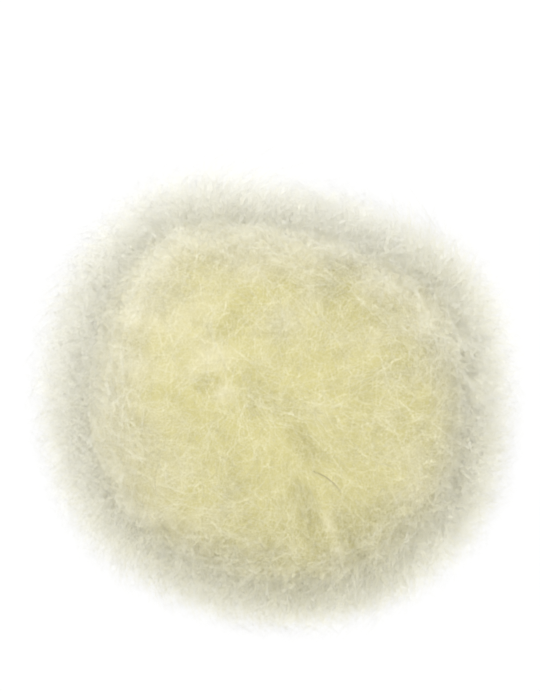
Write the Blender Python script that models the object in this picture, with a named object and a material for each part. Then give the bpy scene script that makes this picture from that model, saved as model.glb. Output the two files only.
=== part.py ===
"""A round fur pom pom, lying on its back on a flat surface.

One solid: a felted core with a small flat base, and tapered locks of hair that grow out of it and stand
apart from each other. The origin is the centre of the flat base and +Z is the way the crown faces.
Lengths are in metres.
"""

import math
import random

import bmesh
import bpy
from mathutils import Quaternion, Vector

# The ball. Its locks reach 130 mm across and 106 mm above the surface that it lies on.
BALL_HEIGHT = 0.106
CENTRE_HEIGHT = 0.046
CORE_RADIUS = 0.036
BASE_RADIUS = 0.013
BASE_CORNERS = 12
FOOT_EDGE = 0.001

# How far the longest hair reaches from the centre, seen face on: (bearing from +X in degrees, reach).
OUTLINE = (
    (0, 0.0640),
    (30, 0.0665),
    (60, 0.0655),
    (90, 0.0610),
    (120, 0.0660),
    (150, 0.0665),
    (180, 0.0645),
    (210, 0.0650),
    (240, 0.0625),
    (270, 0.0615),
    (300, 0.0625),
    (330, 0.0655),
)

# A lock along its length: (share of the length, width as a share of the space it grows in).
LOCK_STATIONS = (
    (0.40, 0.90),
    (0.70, 0.66),
    (0.88, 0.34),
)
ROOT_GAP = 0.0007
ROOT_STIFFNESS = 0.45
SHORTEST_LOCK = 0.94
LONGEST_LOCK = 1.03
REST_GAP = 0.0003

# The locks fall outwards from the crown, more so towards the sides.
CROWN = Vector((0.0025, 0.0040, CENTRE_HEIGHT))
FALL_ANGLE = math.radians(9)
STRAY_ANGLE = math.radians(2.2)

SEED_POINTS = 284
SEED_JITTER = 0.22
SEED = 7
GOLDEN_ANGLE = math.pi * (3 - math.sqrt(5))

CENTRE = Vector((0, 0, CENTRE_HEIGHT))
HAIR_COLOUR = (0.73, 0.67, 0.43, 1.0)


def clear_scene():
    for obj in list(bpy.data.objects):
        bpy.data.objects.remove(obj, do_unlink=True)


def make_material():
    material = bpy.data.materials.new("cream_hair")
    material.use_nodes = True
    shader = material.node_tree.nodes["Principled BSDF"]
    shader.inputs["Base Color"].default_value = HAIR_COLOUR
    shader.inputs["Roughness"].default_value = 0.9
    shader.inputs["Metallic"].default_value = 0.0
    return material


def outline_reach(bearing):
    """The reach at a bearing in radians, eased between the rows of OUTLINE."""
    step = 2 * math.pi / len(OUTLINE)
    row, share = divmod((bearing % (2 * math.pi)) / step, 1.0)
    near = OUTLINE[int(row) % len(OUTLINE)][1]
    far = OUTLINE[(int(row) + 1) % len(OUTLINE)][1]
    eased = (1 - math.cos(math.pi * share)) / 2
    return near + (far - near) * eased


def reach(direction):
    """How far the longest hair reaches in a direction: the outline at the sides, less at the crown."""
    level = math.hypot(direction.x, direction.y)
    wide = outline_reach(math.atan2(direction.y, direction.x))
    high = BALL_HEIGHT - CENTRE_HEIGHT
    return 1 / math.hypot(level / wide, direction.z / high)


def seed_directions(chance):
    """Unit directions spread evenly over the ball by a golden spiral, each moved a little."""
    spacing = math.sqrt(4 * math.pi / SEED_POINTS)
    lowest = -math.cos(math.atan2(BASE_RADIUS, CENTRE_HEIGHT) + 0.85 * spacing)
    directions = []
    for index in range(SEED_POINTS):
        height = 1 - (2 * index + 1) / SEED_POINTS
        if height < lowest:
            continue
        around = math.sqrt(1 - height * height)
        turn = GOLDEN_ANGLE * index
        direction = Vector((around * math.cos(turn), around * math.sin(turn), height))
        shift = Vector([chance.uniform(-1, 1) for _ in range(3)]) * SEED_JITTER * spacing
        directions.append((direction + shift).normalized())
    return directions


def base_ring():
    """The corners of the flat base, on the surface that the ball lies on."""
    corners = []
    for index in range(BASE_CORNERS):
        turn = 2 * math.pi * index / BASE_CORNERS
        corners.append(Vector((BASE_RADIUS * math.cos(turn), BASE_RADIUS * math.sin(turn), 0)))
    return corners


def make_core(chance):
    """A closed faceted core: the hull of the seed directions, set out on the core and its base."""
    places = [(direction, CENTRE + direction * CORE_RADIUS) for direction in seed_directions(chance)]
    places += [((corner - CENTRE).normalized(), corner) for corner in base_ring()]
    places.append((Vector((0, 0, -1)), Vector((0, 0, 0))))
    core = bmesh.new()
    for direction, _ in places:
        core.verts.new(direction)
    order = list(core.verts)
    bmesh.ops.convex_hull(core, input=core.verts)
    for vertex, (_, place) in zip(order, places):
        vertex.co = place
    bmesh.ops.recalc_face_normals(core, faces=core.faces)
    bmesh.ops.dissolve_verts(core, verts=[order[-1]])
    bmesh.ops.join_triangles(
        core,
        faces=lock_beds(core),
        angle_face_threshold=math.radians(60),
        angle_shape_threshold=math.radians(60),
    )
    return core


def lock_beds(core):
    """The faces that a lock grows on: all but the base and the foot around it."""
    return [face for face in core.faces if all(vertex.co.z > FOOT_EDGE for vertex in face.verts)]


def tip_direction(root, chance):
    """The way a lock's tip lies from the centre: over its root, turned down from the crown, and a bit astray."""
    direction = (root - CENTRE).normalized()
    across = Vector((CROWN.y - root.y, root.x - CROWN.x, 0)).normalized()
    level = math.hypot(direction.x, direction.y)
    direction.rotate(Quaternion(across, FALL_ANGLE * level))
    stray = Vector([chance.uniform(-1, 1) for _ in range(3)]) * STRAY_ANGLE
    return (direction + stray).normalized()


def lock_tip(root, chance):
    """Where a lock ends: at the ball's outline, or on the surface below if that comes first."""
    direction = tip_direction(root, chance)
    tip = CENTRE + direction * reach(direction) * chance.uniform(SHORTEST_LOCK, LONGEST_LOCK)
    if tip.z < 0:
        tip = root + (tip - root) * (root.z / (root.z - tip.z))
        tip.z = 0
    return tip


def curve_point(root, bend, tip, share):
    """A point of the quadratic curve from root to tip that bend pulls outwards."""
    rest = 1 - share
    return root * rest * rest + bend * 2 * rest * share + tip * share * share


def curve_slope(root, bend, tip, share):
    return ((bend - root) * (1 - share) + (tip - bend) * share).normalized()


def grow_lock(core, face, chance):
    """Draws one face of the core out into a tapered, bent lock that ends in a point."""
    root = face.calc_center_median()
    tip = lock_tip(root, chance)
    middle = root
    slope = face.normal.copy()
    bend = root + slope * (tip - root).length * ROOT_STIFFNESS
    width = 1.0
    for share, station_width in LOCK_STATIONS:
        face = bmesh.ops.extrude_discrete_faces(core, faces=[face])["faces"][0]
        next_middle = curve_point(root, bend, tip, share)
        next_slope = curve_slope(root, bend, tip, share)
        next_width = station_width * (next_middle - CENTRE).length / (root - CENTRE).length
        turn = slope.rotation_difference(next_slope)
        for vertex in face.verts:
            offset = vertex.co - middle
            offset.rotate(turn)
            vertex.co = next_middle + offset * next_width / width
        lift = max(0.0, REST_GAP - min(vertex.co.z for vertex in face.verts))
        for vertex in face.verts:
            vertex.co.z += lift
        next_middle.z += lift
        middle = next_middle
        slope = next_slope
        width = next_width
    point = bmesh.ops.poke(core, faces=[face])["verts"][0]
    point.co = tip


def make_pom_pom(material):
    chance = random.Random(SEED)
    shape = make_core(chance)
    beds = lock_beds(shape)
    bmesh.ops.inset_individual(shape, faces=beds, thickness=ROOT_GAP)
    for bed in beds:
        grow_lock(shape, bed, chance)
    bmesh.ops.recalc_face_normals(shape, faces=shape.faces)
    mesh = bpy.data.meshes.new("pom_pom")
    shape.to_mesh(mesh)
    shape.free()
    mesh.shade_smooth()
    mesh.set_sharp_from_angle(angle=math.radians(50))
    mesh.materials.append(material)
    print("locks:", len(beds))
    return bpy.data.objects.new("pom_pom", mesh)


def main():
    clear_scene()
    collection = bpy.data.collections.new("pom_pom")
    bpy.context.scene.collection.children.link(collection)
    collection.objects.link(make_pom_pom(make_material()))


main()
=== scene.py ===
import math

import bpy
import numpy as np
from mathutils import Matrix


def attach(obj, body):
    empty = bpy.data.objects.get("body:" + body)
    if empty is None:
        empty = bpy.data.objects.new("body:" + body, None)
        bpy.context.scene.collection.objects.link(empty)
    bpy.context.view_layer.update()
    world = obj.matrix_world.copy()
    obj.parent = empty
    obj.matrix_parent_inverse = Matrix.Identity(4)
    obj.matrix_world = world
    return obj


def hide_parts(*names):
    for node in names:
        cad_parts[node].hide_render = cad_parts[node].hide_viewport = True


# A round pom pom of fine cream fur, lying on its back on a flat spot with its crown up.
# Lengths are in millimetres up to the point where a mesh is made, and then in metres.

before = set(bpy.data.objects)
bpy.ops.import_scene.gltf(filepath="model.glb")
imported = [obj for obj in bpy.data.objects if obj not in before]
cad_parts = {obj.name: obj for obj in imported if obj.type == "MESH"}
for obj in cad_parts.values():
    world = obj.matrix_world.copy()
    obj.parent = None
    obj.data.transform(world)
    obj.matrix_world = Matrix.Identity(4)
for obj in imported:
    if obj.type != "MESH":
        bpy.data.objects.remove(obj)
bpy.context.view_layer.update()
print("frame loaded")

ball = {
    "centre": (0.0, 0.0, 47.0),
    "crownReach": 59.0,  # from the centre up to the crown's longest hair
    "baseReach": 54.0,  # and down below it, where the ball's weight presses the hair
    "underShare": 0.75,  # where the dense under-fur ends, as a share of the reach
    "underMore": 0.10,  # how much more of it that is at the crown and near the floor
    "crownFrom": -0.1,  # the height on the unit ball where the crown's part of that starts
    "crownSpan": 0.9,  # and how much higher it is whole
    "floorFrom": 0.45,  # the depth on the unit ball where the floor's part starts
    "floorSpan": 0.5,
    "rootDepth": 0.035,  # how far below the under-fur's edge the hair starts
    "seed": 5,
    "lumps": 0.35,  # height of the broad waves of the under-fur's surface, in millimetres
    "lumpWaves": (0.5, 16),  # their size on the unit ball, and number
    "tufts": 0.15,  # height of the fine ones
    "tuftWaves": (0.14, 24),
    "creases": 2.2,  # depth of the partings
    "floorLayer": 7.0,  # hair that would pass below this is pressed into a flat layer
    "reachByBearing": (  # degrees from +X, and how far the longest hair reaches there
        (0, 64.8),
        (30, 70.4),
        (60, 61.6),
        (90, 61.8),
        (120, 72.6),
        (150, 70.2),
        (180, 66.4),
        (210, 66.8),
        (240, 60.8),
        (270, 62.2),
        (300, 64.4),
        (330, 68.6),
    ),
}

# Creases and tufts are laid out from above on the ball's outline, shrunk to a share of the reach.
face = {
    "share": 0.9,
    "lowest": 0.1,  # the least height on the unit ball that belongs to the face
    "creaseMiddle": 0.3,  # nearer to a crease's line than this, the hair leans off it less and less
}

# Creases on the face: from (x, y) to (x, y), half width, and how far the hair parts there.
partings = (
    (4.3, -6.0, 10.0, -13.3, 2.6, 1.0),
    (6.4, -22.3, 12.1, -40.9, 2.8, 1.0),
    (17.1, -29.3, 25.4, -46.0, 2.4, 0.65),
    (7.2, -42.8, 8.8, -54.0, 2.4, 0.8),
    (-11.7, 22.3, -6.8, 29.8, 2.8, 0.7),
    (-19.5, 6.5, -17.0, 7.5, 2.0, 0.55),
    (-8.0, 13.0, 12.0, 10.0, 5.0, 0.22),
    (-34.0, -20.0, -28.0, -28.0, 5.0, 0.2),
    (-14.0, -34.0, -20.0, -47.0, 2.2, 0.22),
    (-3.0, -37.0, -5.0, -53.0, 2.0, 0.28),
)

# Tufts on the face that are paler or deeper than the rest: middle (x, y), radius, change of tone.
tufts = (
    (10.5, 3.9, 5.0, 0.10),
    (-4.3, -9.6, 5.0, 0.12),
    (13.8, -30.0, 4.5, 0.18),
    (-14.2, 4.5, 2.5, 0.25),
    (2.5, 33.7, 5.0, -0.20),
    (17.2, 29.6, 5.0, -0.20),
    (-9.2, 26.0, 4.5, -0.18),
    (0.7, 17.4, 7.0, 0.14),
    (8.2, -27.6, 3.5, -0.20),
    (5.7, 1.5, 8.0, -0.10),
    (-24.0, 40.0, 10.0, -0.22),
    (45.0, 37.0, 9.0, -0.22),
    (-50.0, -8.0, 9.0, -0.16),
)


def unit(vectors):
    # each vector divided by its own length
    return vectors / np.maximum(np.linalg.norm(vectors, axis=-1, keepdims=True), 1e-9)


def smoothStep(share):
    # 0 up to 0, 1 from 1, and an even S between
    share = np.clip(share, 0.0, 1.0)
    return share * share * (3.0 - 2.0 * share)


def spreadDirections(count, jitter, chance):
    # a golden spiral over the unit ball, each point moved by up to jitter times their spacing
    index = np.arange(count)
    height = 1.0 - (2.0 * index + 1.0) / count
    around = np.sqrt(1.0 - height * height)
    turn = math.pi * (3.0 - math.sqrt(5.0)) * index
    points = np.stack([around * np.cos(turn), around * np.sin(turn), height], axis=1)
    shift = chance.uniform(-1.0, 1.0, (count, 3)) * jitter * math.sqrt(4.0 * math.pi / count)
    return unit(points + shift)


waveFineness = (0.6, 1.5)  # a single wave is this many times as fine as the size asked for


def waveField(points, size, waves, chance):
    # a smooth vector for each point: a sum of sine waves about size long, each along its own random way
    ways = unit(chance.normal(0.0, 1.0, (3, waves)).T).T * (2.0 * math.pi / size)
    ways = ways * chance.uniform(*waveFineness, (1, waves))
    phases = chance.uniform(0.0, 2.0 * math.pi, (1, waves))
    strengths = chance.normal(0.0, 1.0, (waves, 3)) * math.sqrt(2.0 / waves)
    return np.sin(points @ ways + phases) @ strengths


def outlineReach(x, y):
    # the outline's reach at the bearing of (x, y), along straight lines from row to row
    bearings, reaches = np.array(ball["reachByBearing"], float).T
    return np.interp(np.degrees(np.arctan2(y, x)), bearings, reaches, period=360.0)


def hairReach(directions):
    # the length of an ellipsoid's radius: the outline's reach on the level, the crown's reach upwards
    level = np.hypot(directions[:, 0], directions[:, 1])
    wide = outlineReach(directions[:, 0], directions[:, 1])
    high = np.where(directions[:, 2] > 0.0, ball["crownReach"], ball["baseReach"])
    return 1.0 / np.hypot(level / wide, directions[:, 2] / high)


def underFurShare(directions):
    # the share of the reach that the dense under-fur fills, more towards the crown and the floor
    upwards = smoothStep((directions[:, 2] - ball["crownFrom"]) / ball["crownSpan"])
    downwards = smoothStep((-directions[:, 2] - ball["floorFrom"]) / ball["floorSpan"])
    return ball["underShare"] + ball["underMore"] * (upwards + downwards)


def onFace(directions):
    # where each direction meets the face, and whether it points up enough to belong to it
    places = directions * hairReach(directions)[:, None] * face["share"]
    return places, directions[:, 2] > face["lowest"]


def partingPush(directions):
    # The way that the hair leans off each crease, and how deep in a crease it stands. Both fade out by
    # exp(-square of the distance from the crease's line in half widths).
    places, belongs = onFace(directions)
    push = np.zeros_like(directions)
    depth = np.zeros(len(directions))
    for startX, startY, endX, endY, halfWidth, strength in partings:
        start = np.array([startX, startY])
        along = np.array([endX, endY]) - start
        share = np.clip((places[:, :2] - start) @ along / (along @ along), 0.0, 1.0)
        away = places[:, :2] - start - share[:, None] * along
        far = np.linalg.norm(away, axis=1)
        near = np.exp(-((far / halfWidth) ** 2)) * belongs
        push[:, :2] += away / np.maximum(far, face["creaseMiddle"])[:, None] * (near * strength)[:, None]
        depth = np.maximum(depth, near * strength)
    return push, depth


# Tones run from 0, deep, to 1, pale. Heights are those of directions on the unit ball.
tonePlan = {
    "seed": 13,
    "crown": 0.27,
    "paintedSideLight": 0.46,  # how much paler the sides are painted, as painted light: they get less light than the crown
    "paintedSideLightFrom": 0.3,  # up to this height they are so in full
    "paintedSideLightSpan": 0.6,  # and this much higher not at all
    "topPaintedShade": 0.16,  # painted shade: a deeper spot at the very top, where the hair parts at the crown
    "topShadeSpan": 0.03,
    "lowDeeper": 0.26,  # how much deeper the tone gets again towards the floor
    "lowFrom": 0.05,
    "lowSpan": 0.5,
    "slope": (-0.07, 0.12, 0.0),  # painted light: paler towards the upper left as the camera sees it, the key light's side
    "waves": ((0.05, 0.6, 14), (0.04, 0.2, 30)),  # strength, size on the unit ball, and number
    # painted shade in the creases: how much deeper the tone is there
    "creases": 0.35,
}


def toneField(directions):
    # Deep at the crown, paler down the sides as painted light and deeper again towards the floor, by S
    # curves of the height. To that come an even slope of painted light, soft waves, painted shade at the
    # very top and in the creases, and the tufts' own changes, each of which fades out over its radius.
    chance = np.random.default_rng(tonePlan["seed"])
    places, belongs = onFace(directions)
    height = directions[:, 2]
    upper = smoothStep((height - tonePlan["paintedSideLightFrom"]) / tonePlan["paintedSideLightSpan"])
    tone = tonePlan["crown"] + tonePlan["paintedSideLight"] * (1.0 - upper)
    tone -= tonePlan["topPaintedShade"] * np.exp((height - 1.0) / tonePlan["topShadeSpan"])
    tone -= tonePlan["lowDeeper"] * smoothStep((tonePlan["lowFrom"] - height) / tonePlan["lowSpan"])
    tone += directions @ np.array(tonePlan["slope"])
    for strength, size, waves in tonePlan["waves"]:
        tone += strength * waveField(directions, size, waves, chance)[:, 0]
    tone -= tonePlan["creases"] * partingPush(directions)[1]
    for middleX, middleY, radius, change in tufts:
        far = np.hypot(places[:, 0] - middleX, places[:, 1] - middleY)
        tone += change * np.exp(-((far / radius) ** 2)) * belongs
    return tone


def relief(directions):
    # how far the under-fur stands out or in, in millimetres: waves of two sizes, less the creases
    chance = np.random.default_rng(ball["seed"])
    height = ball["lumps"] * waveField(directions, *ball["lumpWaves"], chance)[:, 0]
    height += ball["tufts"] * waveField(directions, *ball["tuftWaves"], chance)[:, 0]
    return height - ball["creases"] * partingPush(directions)[1]


def settle(points):
    # presses what hangs low into the floor layer: z becomes layer * exp((z - layer) / layer)
    layer = ball["floorLayer"]
    low = points[..., 2] < layer
    pressed = layer * np.exp(np.minimum(points[..., 2] - layer, 0.0) / layer)
    points[..., 2] = np.where(low, pressed, points[..., 2])
    return points


locks = {
    "seed": 11,
    "count": 760,
    "jitter": 0.45,
    "lean": 0.055,  # how far neighbouring locks lean the same way
    "broadWaves": (0.75, 14),  # size on the unit ball and number of the broad waves of that lean
    "broadShare": 0.6,
    "fineWaves": (0.28, 20),
    "fineShare": 0.4,
    "stray": 0.06,  # how far one lock leans by itself
    "partingLean": 0.20,
    "fall": 0.15,  # how far the hair falls outwards from the crown
    "fallMiddle": 0.05,  # nearer to the top of the unit ball than this, it falls less and less
    "fallSpan": 0.5,  # how far out on the unit ball the fall is whole
    "crownStray": 0.2,  # how far a lock at the crown leans by itself besides
    "crownSpan": 0.4,  # and how far out that ends
    "shortest": 0.93,  # of the reach
    "creaseShorter": 0.06,
    "tone": 0.06,
    "toneWaves": 0.5,  # the parts of it that come in waves and by chance
    "toneChance": 0.7,
}


def makeLocks():
    # The middles of the locks: a direction, a lean, a length and a tone for each. The lean is the sum of
    # waves, chance, the push off the creases and the fall from the crown, kept square to the direction.
    chance = np.random.default_rng(locks["seed"])
    directions = spreadDirections(locks["count"], locks["jitter"], chance)
    broad = waveField(directions, *locks["broadWaves"], chance)
    fine = waveField(directions, *locks["fineWaves"], chance)
    push, depth = partingPush(directions)
    lean = locks["lean"] * (locks["broadShare"] * broad + locks["fineShare"] * fine)
    lean += locks["stray"] * chance.normal(0.0, 1.0, directions.shape)
    lean += locks["partingLean"] * push
    level = np.hypot(directions[:, 0], directions[:, 1])[:, None]
    height = directions[:, 2:]
    outwards = directions * [1.0, 1.0, 0.0] / np.maximum(level, locks["fallMiddle"])
    lean += locks["fall"] * outwards * smoothStep(level / locks["fallSpan"]) * np.clip(height, 0.0, 1.0)
    atCrown = smoothStep(1.0 - level / locks["crownSpan"]) * (height > 0.0)
    lean += locks["crownStray"] * atCrown * chance.normal(0.0, 1.0, directions.shape)
    lean -= directions * np.sum(lean * directions, axis=1, keepdims=True)
    length = chance.uniform(locks["shortest"], 1.0, len(directions))
    length = length * (1.0 - locks["creaseShorter"] * depth)
    ownTone = chance.normal(0.0, locks["toneChance"], len(directions))
    tone = locks["tone"] * (locks["toneWaves"] * fine[:, 0] + ownTone)
    return {"directions": directions, "lean": lean, "length": length, "tone": tone}


def nearestLock(directions, lockDirections):
    # the lock whose direction is closest, worked out in blocks of hairs
    blocks = np.array_split(directions.astype(np.float32), max(1, len(directions) // 4000))
    middles = lockDirections.T.astype(np.float32)
    return np.concatenate([np.argmax(block @ middles, axis=1) for block in blocks])


# What every kind of hair shares. The ranges multiply the kind's own value for each hair.
hairs = {
    "jitter": 0.5,
    "mixing": 0.02,  # how far hairs near a lock's edge cross over to the next lock
    "mixingWaves": (0.12, 16),
    "leastLength": 2.5,
    "drawnRange": (0.5, 1.3),
    "drawnPace": 1.1,  # hairs are drawn in whole a little before their tips
    "curlRange": (0.3, 1.5),
    "leanPower": 1.4,
    "radiusRange": (0.7, 1.3),
}


def hairPaths(settings, lockSet, chance):
    # A hair's direction starts as its root's. With the share t of its length it is drawn to its lock's
    # middle by an S curve, leans with the lock by t to the lean's power, strays by t and curls by a growing
    # circle in its own plane. Its distance from the centre grows evenly from a little under the under-fur's
    # surface to its own length, which is chance between shortest and longest, scaled by the root's height.
    directions = spreadDirections(settings["count"], hairs["jitter"], chance)
    keptShare = np.interp(directions[:, 2], settings["levels"], settings["kept"])
    directions = directions[chance.random(len(directions)) < keptShare]
    count = len(directions)
    mixed = unit(directions + hairs["mixing"] * waveField(directions, *hairs["mixingWaves"], chance))
    lock = nearestLock(mixed, lockSet["directions"])
    shares = np.array(settings["shares"])
    t = shares[None, :, None]

    span = chance.beta(settings["spanA"], settings["spanB"], count)
    span = span * np.interp(directions[:, 2], settings["lengthLevels"], settings["lengthShares"])
    longest = settings["shortest"] + (settings["longest"] - settings["shortest"]) * span
    longest = longest * lockSet["length"][lock] ** settings["lockHold"]
    longest = longest + settings["onUnderFur"] * underFurShare(directions)
    rise = relief(directions)
    ownLength = hairReach(directions) * longest + settings["onUnderFur"] * rise
    start = hairReach(directions) * (underFurShare(directions) - ball["rootDepth"]) + rise
    ownLength = np.maximum(ownLength, start + hairs["leastLength"])

    ownLean = settings["stray"] * chance.normal(0.0, 1.0, directions.shape)
    drawn = settings["drawn"] * chance.uniform(*hairs["drawnRange"], count)[:, None, None]
    drawn = drawn * smoothStep(t * hairs["drawnPace"])
    sideA = unit(np.cross(directions, chance.normal(0.0, 1.0, directions.shape)))
    sideB = np.cross(directions, sideA)
    curl = settings["curl"] * chance.uniform(*hairs["curlRange"], count)[:, None, None]
    turns = chance.uniform(*settings["curlTurns"], count)[:, None, None] * 2.0 * math.pi * t
    turns = turns + chance.uniform(0.0, 2.0 * math.pi, count)[:, None, None]

    ways = directions[:, None, :] * (1.0 - drawn) + lockSet["directions"][lock][:, None, :] * drawn
    ways = ways + lockSet["lean"][lock][:, None, :] * settings["lockLean"] * t ** hairs["leanPower"]
    ways = ways + ownLean[:, None, :] * t
    ways = ways + curl * t * (sideA[:, None, :] * np.cos(turns) + sideB[:, None, :] * np.sin(turns))
    reach = start[:, None, None] + (ownLength - start)[:, None, None] * t
    points = np.array(ball["centre"]) + unit(ways) * reach

    thick = settings["radius"] * chance.uniform(*hairs["radiusRange"], count)[:, None]
    radii = thick * np.interp(shares, settings["taperShares"], settings["taperWidths"])[None, :]

    # the tone carries toneField's painted light and shade
    tone = settings["tone"] + toneField(directions) + lockSet["tone"][lock]
    tone = tone + chance.normal(0.0, settings["toneSpread"], count)
    return settle(points), radii, np.clip(tone, 0.0, 1.0)


tube = {
    "columns": 64,  # tone columns side by side in the map
    "edges": (0.1, 0.5, 0.9),  # where a ring's three corners stand in their column
    "rootStrip": 0.03,  # how far up the map the face that closes a root reaches
    "steep": 0.8,  # rings of hair that stands steeper than this are turned from X, of the rest from Z
    "floorGap": 0.02,
}


def tubeMesh(name, points, radii, tones, pointedRoot=False):
    # Each path gets rings of three corners and three faces that meet at the tip. The root is closed by one
    # face, or by three that meet in a point. A ring's corners stand at thirds of a turn round the path's
    # slope. In the map, across is the hair's tone column and up is the share of its length, so that every
    # hair of a tone shares one strip.
    count, rows, _ = points.shape
    first, last = int(pointedRoot), rows - 1
    slope = unit(np.gradient(points, axis=1))
    chord = unit(points[:, -1] - points[:, 0])
    helper = np.where(np.abs(chord[:, 2:3]) < tube["steep"], [[0.0, 0.0, 1.0]], [[1.0, 0.0, 0.0]])
    across = unit(np.cross(helper[:, None, :], slope))
    upright = np.cross(slope, across)
    rings = last - first
    corners = []
    for corner in range(3):
        angle = 2.0 * math.pi * corner / 3.0
        spoke = across * math.cos(angle) + upright * math.sin(angle)
        corners.append(points[:, first:last] + spoke[:, first:last] * radii[:, first:last, None])
    body = np.stack(corners, axis=2).reshape(count, rings * 3, 3)
    body[..., 2] = np.maximum(body[..., 2], tube["floorGap"])
    tip, root = rings * 3, rings * 3 + 1
    vertices = np.concatenate([body, points[:, -1:, :], points[:, :first, :]], axis=1)

    height = np.linspace(0.0, 1.0, rows)
    edges = tube["edges"]
    faces, mapped = [], []
    if not pointedRoot:
        faces.append([0, 2, 1])
        mapped.append([(edges[0], 0.0), (edges[2], 0.0), (edges[1], tube["rootStrip"])])
    for corner in range(3):
        a, b = corner, (corner + 1) % 3
        left, right = edges[a], edges[b]
        middle = (left + right) / 2
        if pointedRoot:
            faces.append([root, b, a])
            mapped.append([(middle, 0.0), (right, height[first]), (left, height[first])])
        for ring in range(rings - 1):
            low, high = height[first + ring], height[first + ring + 1]
            faces.append([ring * 3 + a, ring * 3 + b, ring * 3 + b + 3])
            mapped.append([(left, low), (right, low), (right, high)])
            faces.append([ring * 3 + a, ring * 3 + b + 3, ring * 3 + a + 3])
            mapped.append([(left, low), (right, high), (left, high)])
        faces.append([tip - 3 + a, tip - 3 + b, tip])
        mapped.append([(left, height[last - 1]), (right, height[last - 1]), (middle, 1.0)])
    stride = vertices.shape[1]
    index = np.array(faces)[None] + (np.arange(count) * stride)[:, None, None]
    place = np.broadcast_to(np.array(mapped)[None], (count, len(faces), 3, 2)).copy()
    columns = tube["columns"]
    column = np.minimum((tones * columns).astype(int), columns - 1)
    place[..., 0] = (place[..., 0] + column[:, None, None]) / columns
    return meshObject(name, vertices.reshape(-1, 3), index.reshape(-1, 3), place.reshape(-1, 2))


def meshObject(name, vertices, faces, place=None):
    # puts arrays into a mesh: corners in millimetres, three corners to a face, and a map if there is one
    mesh = bpy.data.meshes.new(name)
    mesh.vertices.add(len(vertices))
    mesh.vertices.foreach_set("co", (vertices * 0.001).astype(np.float32).ravel())
    mesh.loops.add(faces.size)
    mesh.loops.foreach_set("vertex_index", faces.astype(np.int32).ravel())
    mesh.polygons.add(len(faces))
    mesh.polygons.foreach_set("loop_start", np.arange(0, faces.size, 3, dtype=np.int32))
    if place is not None:
        layer = mesh.uv_layers.new(name="OFBake")
        layer.data.foreach_set("uv", place.astype(np.float32).ravel())
    mesh.update(calc_edges=True)
    mesh.validate()
    mesh.shade_smooth()
    obj = bpy.data.objects.new(name, mesh)
    bpy.context.scene.collection.objects.link(obj)
    return obj


hairColour = {
    "deep": (0.83, 0.79, 0.455),
    "middle": (0.86, 0.83, 0.60),
    "pale": (0.96, 0.95, 0.86),
    # painted shade: the outer part of each hair darker and greyer than its cream
    "tip": (0.80, 0.78, 0.68),
    "tipFrom": 0.4,
    "tipTo": 1.0,
    "roughness": 0.75,
    "sheen": 0.15,
}
fineColour = dict(
    hairColour,
    deep=(0.80, 0.76, 0.455),
    middle=(0.83, 0.805, 0.61),
    pale=(0.97, 0.96, 0.87),
    # painted shade: the outer part of each fine hair darker and grey
    tip=(0.82, 0.832, 0.84),
    tipFrom=0.5,
)
hairFinish = {
    "specular": 0.2,
    "sheenRoughness": 0.6,
    "streakScale": (90.0, 6.0, 1.0),  # across the map and up it
    "streakDetail": 3.0,
    "streakStops": ((0.3, (0.997, 0.995, 0.97)), (0.7, (1.0, 1.0, 1.0))),
}


def addNode(tree, kind, **values):
    # a new node in the tree, with its properties set by name
    node = tree.nodes.new(kind)
    for name, value in values.items():
        setattr(node, name, value)
    return node


def setRamp(node, stops):
    # the ramp's stops: a place from 0 to 1, and a colour
    ramp = node.color_ramp
    while len(ramp.elements) < len(stops):
        ramp.elements.new(0.5)
    for element, (place, colour) in zip(ramp.elements, stops):
        element.position = place
        element.color = (*colour, 1.0)


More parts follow.
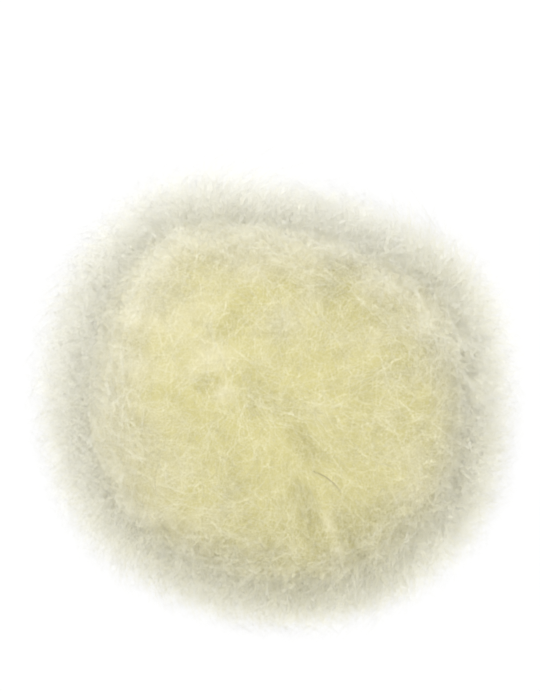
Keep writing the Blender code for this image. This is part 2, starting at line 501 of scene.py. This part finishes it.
def makeHairMaterial(name, colours):
    # The tone runs across the map, through a ramp, and gives way to the tip's colour up it; on the cream
    # hair that tip colour is painted shade. The result is multiplied by fine streaks, noise drawn out along
    # each hair.
    material = bpy.data.materials.new(name)
    material.use_nodes = True
    tree = material.node_tree
    shader = tree.nodes["Principled BSDF"]
    shader.inputs["Roughness"].default_value = colours["roughness"]
    shader.inputs["Sheen Weight"].default_value = colours["sheen"]
    shader.inputs["Sheen Roughness"].default_value = hairFinish["sheenRoughness"]
    shader.inputs["Specular IOR Level"].default_value = hairFinish["specular"]

    hairMap = addNode(tree, "ShaderNodeUVMap", uv_map="OFBake")
    parts = addNode(tree, "ShaderNodeSeparateXYZ")
    tree.links.new(hairMap.outputs["UV"], parts.inputs["Vector"])

    tone = addNode(tree, "ShaderNodeValToRGB")
    setRamp(tone, ((0.0, colours["deep"]), (0.5, colours["middle"]), (1.0, colours["pale"])))
    tree.links.new(parts.outputs["X"], tone.inputs["Fac"])

    alongHair = addNode(tree, "ShaderNodeMapRange")
    alongHair.inputs["From Min"].default_value = colours["tipFrom"]
    alongHair.inputs["From Max"].default_value = colours["tipTo"]
    tree.links.new(parts.outputs["Y"], alongHair.inputs["Value"])
    tipped = addNode(tree, "ShaderNodeMix", data_type="RGBA", blend_type="MIX")
    tipped.inputs["B"].default_value = (*colours["tip"], 1.0)
    tree.links.new(tone.outputs["Color"], tipped.inputs["A"])
    tree.links.new(alongHair.outputs["Result"], tipped.inputs["Factor"])

    stretch = addNode(tree, "ShaderNodeMapping")
    stretch.inputs["Scale"].default_value = hairFinish["streakScale"]
    tree.links.new(hairMap.outputs["UV"], stretch.inputs["Vector"])
    streak = addNode(tree, "ShaderNodeTexNoise")
    streak.inputs["Scale"].default_value = 1.0
    streak.inputs["Detail"].default_value = hairFinish["streakDetail"]
    tree.links.new(stretch.outputs["Vector"], streak.inputs["Vector"])
    streakRange = addNode(tree, "ShaderNodeValToRGB")
    setRamp(streakRange, hairFinish["streakStops"])
    tree.links.new(streak.outputs["Fac"], streakRange.inputs["Fac"])
    streaked = addNode(tree, "ShaderNodeMix", data_type="RGBA", blend_type="MULTIPLY")
    streaked.inputs["Factor"].default_value = 1.0
    tree.links.new(tipped.outputs["Result"], streaked.inputs["A"])
    tree.links.new(streakRange.outputs["Color"], streaked.inputs["B"])
    tree.links.new(streaked.outputs["Result"], shader.inputs["Base Color"])
    return material


def dress(piece, material):
    # gives a piece its material, puts it on the root body and hides the model's own pom_pom part
    piece.data.materials.append(material)
    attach(piece, "root")
    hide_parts("pom_pom")
    print("made", piece.name, "faces", len(piece.data.polygons))


underFur = {
    "rows": 100,
    "columns": 200,
    "flatRadius": 15.0,
    "flatFade": 8.0,  # how far inside that radius the under-fur lies quite flat
    "flatBelow": -0.82,  # only directions lower than this on the unit ball are pressed flat
    "stops": (  # the tone's colours; the pale end is painted light for the sides
        (0.25, (0.51, 0.471, 0.233)),
        (0.5, (0.595, 0.556, 0.36)),
        (0.8, (0.91, 0.882, 0.72)),
    ),
    "mottleStops": ((0.3, (0.96, 0.955, 0.93)), (0.7, (1.0, 1.0, 1.0))),
    "mottleScale": 260.0,
    "mottleDetail": 5.0,
    "bumpStrength": 0.3,
    "bumpDistance": 0.001,
    "roughness": 0.9,
    "specular": 0.1,
}


def makeUnderFur():
    # A closed ball of rings from pole to pole. Its radius is a share of the reach plus waves of two sizes,
    # and what lies below the floor layer is pressed flat on the floor.
    rows, columns = underFur["rows"], underFur["columns"]
    down = np.linspace(0.0, math.pi, rows + 1)[1:-1]
    turn = np.linspace(0.0, 2.0 * math.pi, columns, endpoint=False)
    down, turn = np.meshgrid(down, turn, indexing="ij")
    ring = np.stack([np.sin(down) * np.cos(turn), np.sin(down) * np.sin(turn), np.cos(down)], axis=2)
    poles = np.array([[0.0, 0.0, 1.0], [0.0, 0.0, -1.0]])
    directions = np.concatenate([ring.reshape(-1, 3), poles])
    radius = hairReach(directions) * underFurShare(directions) + relief(directions)
    points = np.array(ball["centre"]) + directions * radius[:, None]
    flat = directions[:, 2] < underFur["flatBelow"]
    spread = np.hypot(points[:, 0], points[:, 1])
    sink = smoothStep((underFur["flatRadius"] - spread) / underFur["flatFade"]) * flat
    points[:, 2] = np.maximum(points[:, 2] * (1.0 - sink), 0.0)

    grid = np.arange((rows - 1) * columns).reshape(rows - 1, columns)
    nextOver = np.roll(grid, -1, axis=1)
    a, b, c, d = grid[:-1], grid[1:], nextOver[1:], nextOver[:-1]
    lowerHalves = np.stack([a, b, c], axis=2).reshape(-1, 3)
    upperHalves = np.stack([a, c, d], axis=2).reshape(-1, 3)
    top, bottom = grid.size, grid.size + 1
    topFaces = np.stack([np.full(columns, top), grid[0], nextOver[0]], axis=1)
    bottomFaces = np.stack([np.full(columns, bottom), nextOver[-1], grid[-1]], axis=1)
    faces = np.concatenate([lowerHalves, upperHalves, topFaces, bottomFaces])
    piece = meshObject("underFur", points, faces)
    # the tone carries toneField's painted light and shade
    tone = piece.data.attributes.new("tone", "FLOAT", "POINT")
    tone.data.foreach_set("value", np.clip(toneField(directions), 0.0, 1.0).astype(np.float32))
    return piece


def makeUnderFurMaterial():
    # The tone of each corner, through a ramp, times a fine mottle. The mottle is noise on the object's own
    # coordinates, which gives the bump as well.
    material = bpy.data.materials.new("underFurHair")
    material.use_nodes = True
    tree = material.node_tree
    shader = tree.nodes["Principled BSDF"]
    shader.inputs["Roughness"].default_value = underFur["roughness"]
    shader.inputs["Specular IOR Level"].default_value = underFur["specular"]
    place = addNode(tree, "ShaderNodeTexCoord")
    tufted = addNode(tree, "ShaderNodeTexNoise")
    tufted.inputs["Scale"].default_value = underFur["mottleScale"]
    tufted.inputs["Detail"].default_value = underFur["mottleDetail"]
    tree.links.new(place.outputs["Object"], tufted.inputs["Vector"])
    colour = addNode(tree, "ShaderNodeValToRGB")
    setRamp(colour, underFur["stops"])
    tone = addNode(tree, "ShaderNodeAttribute", attribute_name="tone")
    tree.links.new(tone.outputs["Fac"], colour.inputs["Fac"])
    mottle = addNode(tree, "ShaderNodeValToRGB")
    setRamp(mottle, underFur["mottleStops"])
    tree.links.new(tufted.outputs["Fac"], mottle.inputs["Fac"])
    mottled = addNode(tree, "ShaderNodeMix", data_type="RGBA", blend_type="MULTIPLY")
    mottled.inputs["Factor"].default_value = 1.0
    tree.links.new(colour.outputs["Color"], mottled.inputs["A"])
    tree.links.new(mottle.outputs["Color"], mottled.inputs["B"])
    tree.links.new(mottled.outputs["Result"], shader.inputs["Base Color"])
    bump = addNode(tree, "ShaderNodeBump")
    bump.inputs["Strength"].default_value = underFur["bumpStrength"]
    bump.inputs["Distance"].default_value = underFur["bumpDistance"]
    tree.links.new(tufted.outputs["Fac"], bump.inputs["Height"])
    tree.links.new(bump.outputs["Normal"], shader.inputs["Normal"])
    return material


lockSet = makeLocks()
print("locks laid out", locks["count"])
hairMaterial = makeHairMaterial("creamHair", hairColour)
fineMaterial = makeHairMaterial("fineCreamHair", fineColour)
dress(makeUnderFur(), makeUnderFurMaterial())

# The dense hair that makes the ball's body, in two pieces. Levels are heights on the unit ball, and kept
# is the share of the hair that grows there. Lengths are shares of the reach beyond the under-fur.
bodyHair = {
    "seeds": {"A": 21, "B": 22},
    "count": 50000,
    "levels": (-0.7, -0.4, -0.2, 1.0),
    "kept": (0.5, 0.6, 1.0, 1.0),
    "shares": (0.0, 1.0),
    "onUnderFur": 1.0,
    "shortest": 0.0,
    "longest": 0.13,
    "spanA": 1.1,
    "spanB": 2.2,
    "lengthLevels": (-0.5, -0.2, 0.35, 0.6),
    "lengthShares": (1.0, 1.3, 1.3, 1.0),
    "lockHold": 1.0,
    "stray": 0.07,
    "drawn": 0.12,
    "lockLean": 0.5,
    "curl": 0.01,
    "curlTurns": (0.4, 1.4),
    "radius": 0.032,
    "taperShares": (0.0, 1.0),
    "taperWidths": (1.0, 0.0),
    "tone": 0.0,
    "toneSpread": 0.03,
}
for letter, seed in bodyHair["seeds"].items():
    paths = hairPaths(bodyHair, lockSet, np.random.default_rng(seed))
    dress(tubeMesh("bodyHair" + letter, *paths), hairMaterial)

# The fine, longer hair that blurs the ball's edge, in three pieces. Lengths are shares of the reach.
fineHair = {
    "seeds": {"A": 31, "B": 32, "C": 33},
    "count": 30000,
    "levels": (-0.7, -0.5, 0.45, 0.8),
    "kept": (0.5, 1.0, 1.0, 0.28),
    "shares": (0.0, 0.75, 1.0),
    "onUnderFur": 0.0,
    "shortest": 0.88,
    "longest": 1.06,
    "spanA": 1.15,
    "spanB": 1.05,
    "lengthLevels": (0.0, 1.0),
    "lengthShares": (1.0, 1.0),
    "lockHold": 0.4,
    "stray": 0.18,
    "drawn": 0.06,
    "lockLean": 0.6,
    "curl": 0.09,
    "curlTurns": (0.5, 1.8),
    "radius": 0.0255,
    "taperShares": (0.0, 0.75, 1.0),
    "taperWidths": (0.0, 1.0, 0.0),
    "tone": 0.17,
    "toneSpread": 0.05,
}
for letter, seed in fineHair["seeds"].items():
    paths = hairPaths(fineHair, lockSet, np.random.default_rng(seed))
    dress(tubeMesh("fineHair" + letter, *paths, pointedRoot=True), fineMaterial)

# Single hairs on the face: the start, bend and end (x, y), how far out each lies as a share of the reach,
# radius, and tone from dark to pale.
strayHairs = (
    ((8.8, -14.8), (13.3, -16.2), (15.9, -20.6), 0.985, 0.16, 0.03),
    ((-29.9, -14.2), (-30.9, -18.0), (-30.0, -22.0), 0.95, 0.08, 0.25),
    ((-5.1, -31.3), (-4.4, -33.8), (-2.1, -36.0), 0.95, 0.08, 0.3),
    ((-3.9, -33.6), (-4.0, -35.4), (-4.6, -36.6), 0.95, 0.06, 0.3),
    ((37.9, -2.4), (45.5, -9.4), (56.8, -13.9), 0.94, 0.06, 0.9),
)


strayShape = {
    "rows": 12,
    "sunkEnds": 0.05,  # of the reach
    "sinkPower": 6,
    "taperShares": (0.0, 0.2, 0.7, 1.0),
    "taperWidths": (0.5, 1.0, 0.9, 0.3),
}


def makeStrayHairs():
    # Each is a quadratic curve from start to end, set out on the ball's outline shrunk to its share, with
    # both ends sunk into the fur by an even power of the way from the middle.
    t = np.linspace(0.0, 1.0, strayShape["rows"])[:, None]
    taper = np.interp(t[:, 0], strayShape["taperShares"], strayShape["taperWidths"])
    paths, radii, tones = [], [], []
    for start, bend, end, share, radius, tone in strayHairs:
        start, bend, end = np.array(start), np.array(bend), np.array(end)
        flat = start * (1.0 - t) ** 2 + bend * 2.0 * t * (1.0 - t) + end * t ** 2
        level = np.hypot(flat[:, 0], flat[:, 1]) / outlineReach(flat[:, 0], flat[:, 1])
        shell = share - strayShape["sunkEnds"] * (2.0 * t[:, 0] - 1.0) ** strayShape["sinkPower"]
        height = ball["centre"][2] + ball["crownReach"] * np.sqrt(np.maximum(shell ** 2 - level ** 2, 0.0))
        paths.append(np.column_stack([flat, height]))
        radii.append(radius * taper)
        tones.append(tone)
    return np.array(paths), np.array(radii), np.array(tones)


strayColour = {
    "deep": (0.26, 0.22, 0.13),
    "middle": (0.62, 0.58, 0.42),
    "pale": (0.96, 0.95, 0.86),
    "tip": (0.60, 0.56, 0.42),
    "tipFrom": 0.5,
    "tipTo": 2.0,
    "roughness": 0.6,
    "sheen": 0.1,
}
dress(tubeMesh("strayHairs", *makeStrayHairs()), makeHairMaterial("strayHair", strayColour))

studio = {
    "floorHalf": 3000.0,
    "floorColour": (0.08, 0.08, 0.08, 1.0),
    "floorRoughness": 0.9,
    "floorGlow": 0.905,
    "white": (1.0, 1.0, 1.0, 1.0),
    "worldLight": 1.65,
    "lampSize": 0.7,
    "lampEnergy": 1.2,
    "lampPlace": (-0.25, 0.6, 0.8),
    "lampAim": 0.05,  # the height over the middle of the floor that the lamp faces
    "lensLength": 100.0,
    "sensorWidth": 36.0,
    "cameraClip": (0.01, 50.0),
    "cameraPlace": (-0.0018, 0.016, 0.5704),
    "filterWidth": 2.2,
    "bounces": 4,
}


def makeStudio():
    # A plain pale floor that glows a little, as a light table does, a white surround and one broad, soft
    # light.
    half = studio["floorHalf"]
    corners = np.array([[-half, -half, 0.0], [half, -half, 0.0], [half, half, 0.0], [-half, half, 0.0]])
    floor = meshObject("studioFloor", corners, np.array([[0, 1, 2], [0, 2, 3]]))
    material = bpy.data.materials.new("paleFloor")
    material.use_nodes = True
    shader = material.node_tree.nodes["Principled BSDF"]
    shader.inputs["Base Color"].default_value = studio["floorColour"]
    shader.inputs["Roughness"].default_value = studio["floorRoughness"]
    shader.inputs["Specular IOR Level"].default_value = 0.0
    shader.inputs["Emission Color"].default_value = studio["white"]
    shader.inputs["Emission Strength"].default_value = studio["floorGlow"]
    floor.data.materials.append(material)

    world = bpy.data.worlds.new("studioWorld")
    world.use_nodes = True
    world.node_tree.nodes["Background"].inputs["Color"].default_value = studio["white"]
    world.node_tree.nodes["Background"].inputs["Strength"].default_value = studio["worldLight"]
    bpy.context.scene.world = world

    lampData = bpy.data.lights.new("keyLight", "AREA")
    lampData.shape = "DISK"
    lampData.size = studio["lampSize"]
    lampData.energy = studio["lampEnergy"]
    lamp = bpy.data.objects.new("keyLight", lampData)
    lamp.location = studio["lampPlace"]
    aim = lamp.location.copy()
    aim.z -= studio["lampAim"]
    lamp.rotation_euler = aim.to_track_quat("Z", "Y").to_euler()
    bpy.context.scene.collection.objects.link(lamp)


def makeCamera():
    # straight above the face, with the photo's top towards +Y
    cameraData = bpy.data.cameras.new("camera")
    cameraData.lens = studio["lensLength"]
    cameraData.sensor_width = studio["sensorWidth"]
    cameraData.clip_start, cameraData.clip_end = studio["cameraClip"]
    camera = bpy.data.objects.new("camera", cameraData)
    camera.location = studio["cameraPlace"]
    bpy.context.scene.collection.objects.link(camera)
    bpy.context.scene.camera = camera


makeStudio()
makeCamera()
scene = bpy.context.scene
scene.view_settings.view_transform = "Standard"
scene.view_settings.look = "None"
scene.cycles.filter_width = studio["filterWidth"]
scene.cycles.max_bounces = studio["bounces"]
scene.cycles.diffuse_bounces = studio["bounces"]
scene.cycles.debug_use_spatial_splits = True
print("studio ready")
